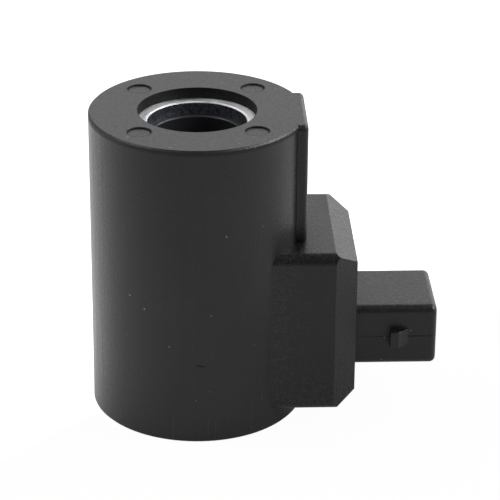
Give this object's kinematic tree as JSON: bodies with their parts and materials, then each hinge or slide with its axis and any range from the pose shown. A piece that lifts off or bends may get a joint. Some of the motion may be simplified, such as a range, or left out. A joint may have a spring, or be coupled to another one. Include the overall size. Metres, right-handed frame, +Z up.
{
  "type": "solenoid valve coil",
  "caption": "Round overmoulded valve coil with a through bore, recessed steel end plates and a side terminal block whose rectangular socket takes the supply plug.",
  "frame": {"origin": "on the axis of the bore, in the plane of the lower end face of the moulding, at the mouth of the lower recess", "axes": "+Z up along the bore from the lower to the upper end face, +X along the plug socket, out of its mouth, +Y across the socket"},
  "size_m": [0.0648, 0.04, 0.0586],
  "materials": {
    "black_moulding": "fine-grained matt black moulding",
    "reel_plastic": "smooth dark grey moulding",
    "zinc_plated_steel": "bright zinc plate over turned steel",
    "enamelled_copper": "enamelled copper wire",
    "tape_film": "amber polyester film",
    "tinned_brass": "tin plate over stamped brass",
    "lead_sleeving": "pale extruded sleeving",
    "solder": "dull solder"
  },
  "bodies": {
    "root": {"moulded_housing": "black_moulding", "top_flux_plate": "zinc_plated_steel", "bottom_flux_plate": "zinc_plated_steel", "flux_sleeve": "zinc_plated_steel", "bobbin": "reel_plastic", "copper_winding": "enamelled_copper", "winding_tape": "tape_film", "terminal_carrier": "reel_plastic", "start_terminal": "tinned_brass", "finish_terminal": "tinned_brass", "start_lead": "enamelled_copper", "finish_lead": "enamelled_copper", "start_lead_sleeve": "lead_sleeving", "start_solder_joint": "solder", "finish_solder_joint": "solder"}
  },
  "joints": []
}
